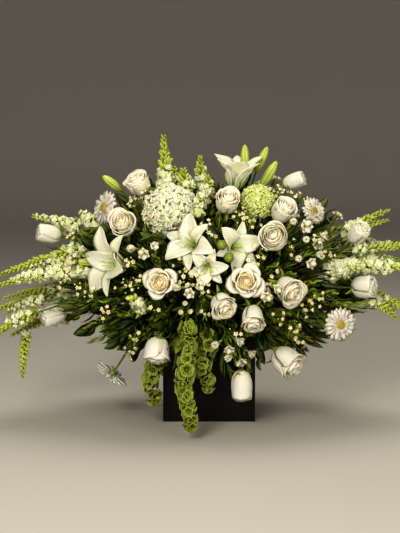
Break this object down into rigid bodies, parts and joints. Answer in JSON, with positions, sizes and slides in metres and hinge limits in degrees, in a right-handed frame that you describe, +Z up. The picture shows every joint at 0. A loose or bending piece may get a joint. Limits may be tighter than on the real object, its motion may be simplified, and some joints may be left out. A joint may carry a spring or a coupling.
{
  "type": "casket spray of white flowers in a cube vase",
  "caption": "Wide funeral spray of white roses, lilies, gerberas and snapdragons with bells of Ireland, in a black cube vase.",
  "frame": {"origin": "the middle of the underside of the vase", "axes": "+Z up, -Y towards the viewer of the front, +X to the right along the spray's long side"},
  "size_m": [0.9814, 0.536, 0.6333],
  "materials": {
    "vase": "black satin acrylic",
    "foam": "dark green wet floral foam, matt and fine-grained",
    "leaf": "living leaves and stems, satin dark green",
    "rose": "ivory-white petals, soft and matt",
    "lily": "white waxy petals",
    "gerbera": "white petals, matt, yellowish middle",
    "hydrangea": "white papery florets",
    "green_hydrangea": "pale green papery florets",
    "spike": "white florets and pale green buds",
    "bells": "fresh green papery bells"
  },
  "bodies": {
    "root": {"rose_crown_left": "rose", "rose_shoulder_left": "rose", "rose_far_left_upper": "rose", "rose_far_left_lower": "rose", "rose_open_left": "rose", "rose_skirt_left": "rose", "rose_crown_centre": "rose", "rose_open_centre": "rose", "rose_centre_low": "rose", "rose_skirt_centre": "rose", "rose_hanging": "rose", "rose_low_right": "rose", "rose_right_upper": "rose", "rose_right_middle": "rose", "rose_right_open": "rose", "rose_crown_right": "rose", "rose_far_right_upper": "rose", "rose_far_right_lower": "rose", "rose_back_left": "rose", "rose_back_centre": "rose", "rose_back_right": "rose", "gerbera_left": "gerbera", "gerbera_right": "gerbera", "gerbera_low_right": "gerbera", "gerbera_low_left": "gerbera", "gerbera_back": "gerbera", "lily_left": "lily", "lily_centre_left": "lily", "lily_centre_front": "lily", "lily_centre_right": "lily", "lily_crown": "lily", "lily_back": "lily", "hydrangea_left": "hydrangea", "hydrangea_right": "green_hydrangea", "hydrangea_back": "hydrangea", "stock_left": "spike", "stock_right": "spike", "snapdragon_crown": "spike", "snapdragon_left_1": "spike", "snapdragon_left_2": "spike", "snapdragon_left_3": "spike", "snapdragon_left_4": "spike", "snapdragon_left_5": "spike", "snapdragon_right_1": "spike", "snapdragon_right_2": "spike", "snapdragon_right_3": "spike", "snapdragon_right_4": "spike", "bells_front": "bells", "bells_left": "bells", "bells_middle": "bells", "greenery_front": "leaf", "greenery_front_right": "leaf", "greenery_right": "leaf", "greenery_back_right": "leaf", "greenery_back": "leaf", "greenery_back_left": "leaf", "greenery_left": "leaf", "greenery_front_left": "leaf", "vase": "vase", "floral_foam": "foam"}
  },
  "joints": []
}
